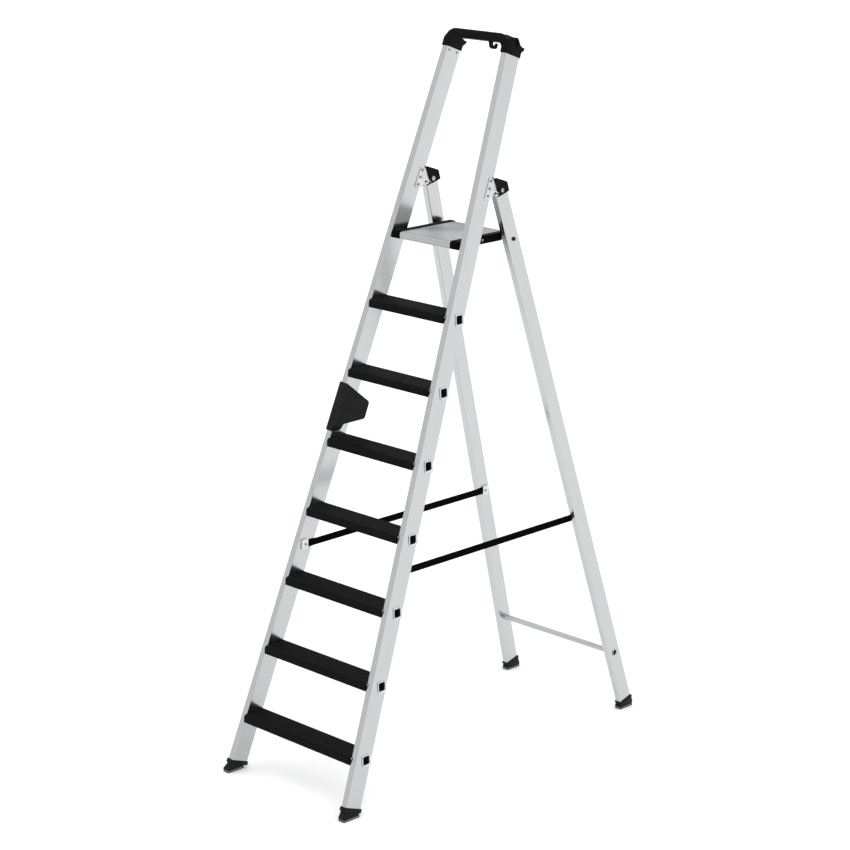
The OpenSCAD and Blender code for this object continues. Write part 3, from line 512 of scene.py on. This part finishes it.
# ---------- rear legs ----------
# Two smaller rectangular aluminium tubes, anodised like the stiles. Each ends in a black
# moulded cap that turns on the hinge bolt, its two cheeks outside the hinge plates.
rear_lean = math.radians(15.91)
leg_taper = math.radians(3.39)
leg_front = 1.419673
leg_width = 0.025
leg_lines = ((0.0125, 0.0005),)
rear_half = 0.3022
rear_plane = Matrix.Translation((0, leg_front - floor_middle, 0)) @ Matrix.Rotation(rear_lean, 4, "X")
leg_place = {
    "right": rear_plane @ Matrix.Translation((rear_half, 0, 0)) @ Matrix.Rotation(-leg_taper, 4, "Y"),
    "left": rear_plane @ Matrix.Translation((-rear_half, 0, 0)) @ Matrix.Rotation(leg_taper, 4, "Y"),
}
for side in ("left", "right"):
    set_finish(cad["rear_leg_" + side], aluminium(
        "anodised_leg_" + side, leg_place[side], stile_light, stile_dark,
        anodised_smooth, anodised_rough, leg_lines))
    part = make_piece("rear_cap_%s_moulding" % side, softened("rear_cap_" + side, 0.0010), cap_finish)
    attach(part, "rear_section")
    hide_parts("rear_cap_" + side)

# ---------- rear brace ----------
# A round aluminium tube low between the rear legs, its ends passed through them and rolled
# over into a lip outside.
brace_up = 0.230
brace_back = 0.0296
inside_limit = 0.0088
brace_middle = rear_plane @ Vector((0, brace_back, brace_up))
leg_outward = (leg_place["right"].to_3x3() @ Vector((1, 0, 0))).normalized()
leg_outer_face = rear_half - brace_up * math.tan(leg_taper)
leg_inner_face = leg_outer_face - leg_width / math.cos(leg_taper)
brace_shape = (
    (0.0, 0.0100), (leg_inner_face - 0.0040, 0.0100), (leg_inner_face - 0.0024, 0.0106),
    (leg_inner_face - 0.0020, 0.0121), (leg_inner_face - 0.0010, 0.0125),
    (leg_inner_face - 0.0001, 0.0120), (leg_inner_face + 0.0010, 0.0100),
    (leg_outer_face - 0.0010, 0.0100), (leg_outer_face + 0.0002, 0.0112),
    (leg_outer_face + 0.0007, 0.0130), (leg_outer_face + 0.0013, 0.0136),
    (leg_outer_face + 0.0020, 0.0132), (leg_outer_face + 0.0023, 0.0118),
    (leg_outer_face + 0.0019, 0.0102), (leg_outer_face + 0.0004, 0.0091),
    (leg_outer_face - 0.0030, 0.0086), (leg_outer_face - 0.0100, 0.0084), (0.0, 0.0084),
)
work = spun_pair(brace_shape)
for point in work.verts:
    share = min(1.0, abs(point.co.x) / leg_inner_face)
    slant = (leg_outward.y * point.co.y + leg_outward.z * point.co.z) / leg_outward.x
    point.co.x -= math.copysign(slant * share, point.co.x)
bmesh.ops.translate(work, verts=work.verts, vec=brace_middle)
# Faces inside the tube take the near-black painted shade finish.
for face in work.faces:
    away = max((point.co - brace_middle).yz.length for point in face.verts)
    if away < inside_limit:
        face.material_index = 1
brace_finish = aluminium(
    "brace_aluminium", None, (0.46, 0.47, 0.475), (0.40, 0.41, 0.415), 0.18, 0.30)
part = make_piece("rear_brace_tube", work, brace_finish)
part.data.materials.append(hollow_painted_shade)
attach(part, "rear_section")
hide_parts("rear_brace")

# ---------- rear feet ----------
# Moulded black shoes like the front ones but lower in front and taller behind, on the same
# black rubber soles.
for side in ("left", "right"):
    part = make_piece("rear_shoe_%s_moulding" % side, softened("rear_shoe_" + side, 0.0011), shoe_finish)
    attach(part, "rear_section")
    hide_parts("rear_shoe_" + side)
    part = make_piece("rear_sole_%s_rubber" % side, softened("rear_sole_" + side, 0.0007, 2), sole_finish)
    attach(part, "rear_section")
    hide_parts("rear_sole_" + side)

# ---------- platform ----------
# A ribbed aluminium deck with a rounded nose, closed at each side by a black moulding. It
# turns on two studs in the stiles and rests on a bolt through each rear leg.
deck_low, deck_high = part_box("platform_deck")
along_deck = Matrix.Rotation(math.radians(90), 4, "Y")
deck_finish = aluminium(
    "deck_aluminium", along_deck, (0.42, 0.43, 0.435), (0.37, 0.38, 0.385), 0.28, 0.40)
deck_top = 0.0254
deck_rib_count = 38
deck_rib_pitch = 0.0065
first_deck_rib = 0.0165
deck_nose_radius = 0.0090
deck_ribs = []
for index in range(deck_rib_count):
    start = first_deck_rib + index * deck_rib_pitch
    deck_ribs += [(start, deck_top - 0.0008), (start + 0.0006, deck_top),
                  (start + 0.0037, deck_top), (start + 0.0043, deck_top - 0.0008)]
deck_nose = []
for index in range(11):
    angle = math.radians(90 * index / 10)
    deck_nose.append((deck_nose_radius - deck_nose_radius * math.sin(angle),
                      0.0164 + deck_nose_radius * math.cos(angle)))
deck_webs = []
for web in (0.0720, 0.1320, 0.1920):
    deck_webs += [(web, 0.0226), (web, 0.0080), (web - 0.0050, 0.0080), (web - 0.0050, 0.0060),
                  (web + 0.0070, 0.0060), (web + 0.0070, 0.0080), (web + 0.0020, 0.0080),
                  (web + 0.0020, 0.0226)]
deck_outline = (
    [(0.2650, 0.0020), (0.2650, deck_top - 0.0006), (0.2644, deck_top)]
    + list(reversed(deck_ribs)) + deck_nose
    + [(0.0, 0.0062), (0.0008, 0.0058), (0.0008, 0.0048), (0.0, 0.0044), (0.0, 0.0016),
       (0.0004, 0.0004), (0.0016, 0.0), (0.0230, 0.0), (0.0230, 0.0022), (0.0026, 0.0022),
       (0.0026, 0.0150), (0.0060, 0.0205), (0.0110, 0.0226)]
    + deck_webs
    + [(0.2626, 0.0226), (0.2626, 0.0042), (0.2530, 0.0042), (0.2530, 0.0020)]
)
work = bmesh.new()
extrude_outline(work, [(deck_low.y + y, deck_low.z + z) for y, z in deck_outline], deck_low.x, deck_high.x)
part = make_piece("platform_deck_extrusion", work, deck_finish, 28)
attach(part, "platform")
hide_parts("platform_deck")
side_finish = black_plastic(
    "platform_side_plastic", light=(0.0026, 0.0026, 0.0027), dark=(0.0018, 0.0018, 0.0019),
    smooth=0.50, rough=0.64, grain=1100, dust=0.05, specular=0.02)
for side in ("left", "right"):
    work = softened("platform_side_" + side, 0.0016)
    part = make_piece("platform_side_%s_moulding" % side, work, side_finish)
    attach(part, "platform")
    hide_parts("platform_side_" + side)
part = make_piece("platform_rivet_heads", softened("platform_rivets", 0.0006, 4), bolt_finish)
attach(part, "platform")
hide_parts("platform_rivets")
part = make_piece("platform_pivot_studs", softened("platform_pivots", 0.0006, 3), rivet_finish)
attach(part, "front_section")
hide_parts("platform_pivots")
work = softened("platform_rest_bolts", 0.0009, 4)
part = make_piece("platform_rest_bolt_heads", work, black_metal_finish)
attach(part, "rear_section")
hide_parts("platform_rest_bolts")

# ---------- retaining straps ----------
# A flat black woven webbing strap on each side stops the legs from spreading. Each end is held
# in a folded aluminium clip with one rivet.
clip_finish = aluminium("clip_aluminium", None, (0.64, 0.65, 0.65), (0.60, 0.61, 0.61), 0.22, 0.36)
for node, body in (("strap_front_clips", "front_section"), ("strap_rear_clips", "rear_section")):
    part = make_piece(node + "_folded", softened(node, 0.0009, 3), clip_finish)
    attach(part, body)
    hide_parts(node)
for node, body in (("strap_front_rivets", "front_section"), ("strap_rear_rivets", "rear_section")):
    part = make_piece(node + "_heads", softened(node, 0.0007, 4), hinge_rivet_finish)
    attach(part, body)
    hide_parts(node)


def woven_webbing(name):
    """Black polyester webbing: herringbone picks over straight cords, with a loose fibre tone."""
    finish, shader = start_finish(name, 0.85, 0.0, 0.01)
    shader.inputs["Sheen Weight"].default_value = 0.004
    shader.inputs["Sheen Roughness"].default_value = 0.5
    uv = add_node(finish, "ShaderNodeUVMap", {}, uv_map="along_strap").outputs[0]
    parts = add_node(finish, "ShaderNodeSeparateXYZ", {0: uv})
    along, across = parts.outputs[0], parts.outputs[1]
    thread = 0.0011
    folded = calculate(finish, "PINGPONG", across, 2 * thread)
    slanted = calculate(finish, "ADD", along, calculate(finish, "MULTIPLY", folded, 0.9))
    pick = calculate(finish, "SINE", calculate(finish, "MULTIPLY", slanted, 2 * math.pi / thread))
    warp = calculate(finish, "SINE", calculate(finish, "MULTIPLY", across, 2 * math.pi / thread))
    weave = calculate(finish, "MULTIPLY_ADD", pick, 0.6, calculate(finish, "MULTIPLY", warp, 0.4))
    fibre = stretched_noise(finish, uv, (300, 2600, 1), 3.0)
    tone = calculate(finish, "MULTIPLY_ADD", weave, 0.4, fibre)
    lift = remap(finish, tone, 0.1, 0.9, 0.0, 1.0)
    colour = blend_colours(finish, lift, (0.0008, 0.0008, 0.0009), (0.0030, 0.0030, 0.0032))
    join_up(finish, colour, shader, "Base Color")
    raise_surface(finish, shader, [(weave, 0.00035, 0.6), (fibre, 0.0001, 0.3)])
    return finish


strap_finish = woven_webbing("strap_webbing")
for side in ("left", "right"):
    low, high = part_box("strap_" + side)
    work = bmesh.new()
    uv_layer = work.loops.layers.uv.new("along_strap")
    middle = Vector((low + high) / 2)
    size = high - low
    blank = Matrix.Translation(middle) @ Matrix.Diagonal((size.x, size.y, size.z, 1.0))
    bmesh.ops.create_cube(work, size=1.0, matrix=blank)
    long_edges = [edge for edge in work.edges if abs((edge.verts[0].co - edge.verts[1].co).y) > 0.1]
    bmesh.ops.subdivide_edges(work, edges=long_edges, cuts=59, use_grid_fill=True)
    tall_edges = [edge for edge in work.edges if abs((edge.verts[0].co - edge.verts[1].co).z) > 0.01]
    bmesh.ops.subdivide_edges(work, edges=tall_edges, cuts=3, use_grid_fill=True)
    for point in work.verts:
        share = (point.co.z - middle.z) / (size.z / 2)
        point.co.x = middle.x + (point.co.x - middle.x) * (1.0 - 0.45 * abs(share) ** 6)
    for face in work.faces:
        for loop in face.loops:
            loop[uv_layer].uv = (loop.vert.co.y - low.y, loop.vert.co.z - low.z)
    part = make_piece("strap_%s_webbing" % side, work, strap_finish, 40)
    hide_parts("strap_" + side)
    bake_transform(part)

# ---------- floor, light and camera ----------
# A pale floor without an edge in view, an even white surround and two large soft lamps, seen
# from the front right.
work = bmesh.new()
bmesh.ops.create_circle(work, cap_ends=True, segments=64, radius=80.0)
floor_finish, floor_shader = start_finish("pale_floor", 0.9, 0.0, 0.0)
floor_coords = place_on(floor_finish)
floor_cloud = stretched_noise(floor_finish, floor_coords, (0.6, 0.6, 0.6), 2.0)
floor_colour = blend_colours(floor_finish, floor_cloud, (0.940, 0.940, 0.940), (0.955, 0.955, 0.955))
join_up(floor_finish, floor_colour, floor_shader, "Base Color")
floor = make_piece("studio_floor", work, floor_finish)
for polygon in floor.data.polygons:
    if polygon.normal.z < 0:
        floor.data.flip_normals()
        break

world = bpy.data.worlds.new("even_white_surround")
world.use_nodes = True
world.node_tree.nodes["Background"].inputs["Color"].default_value = (1.0, 1.0, 1.0, 1)
world.node_tree.nodes["Background"].inputs["Strength"].default_value = 0.95
bpy.context.scene.world = world


def soft_lamp(name, aim_from, spread, strength):
    """A broad even lamp far away, in the direction given."""
    lamp = bpy.data.lights.new(name, "SUN")
    lamp.angle = math.radians(spread)
    lamp.energy = strength
    holder = bpy.data.objects.new(name, lamp)
    holder.rotation_euler = (-Vector(aim_from)).to_track_quat("-Z", "Y").to_euler()
    bpy.context.scene.collection.objects.link(holder)


soft_lamp("lamp_right_rear", (0.5, 0.35, 1.0), 80, 0.85)
soft_lamp("lamp_left_front", (-0.35, -0.3, 1.0), 80, 0.65)

camera_data = bpy.data.cameras.new("view_from_front_right")
camera_data.sensor_width = 36.0
camera_data.lens = 108.242
camera_data.clip_end = 300.0
camera = bpy.data.objects.new("view_from_front_right", camera_data)
camera.location = (6.05585, -5.33748 - floor_middle, 3.56884)
aim = Matrix.Rotation(math.radians(45.132), 3, "Z") @ Matrix.Rotation(math.radians(90 - 15.6217), 3, "X")
camera.rotation_euler = (aim @ Matrix.Rotation(math.radians(-0.11), 3, "Z")).to_euler()
bpy.context.scene.collection.objects.link(camera)
bpy.context.scene.camera = camera
bpy.context.scene.view_settings.view_transform = "Standard"
bpy.context.scene.view_settings.look = "None"
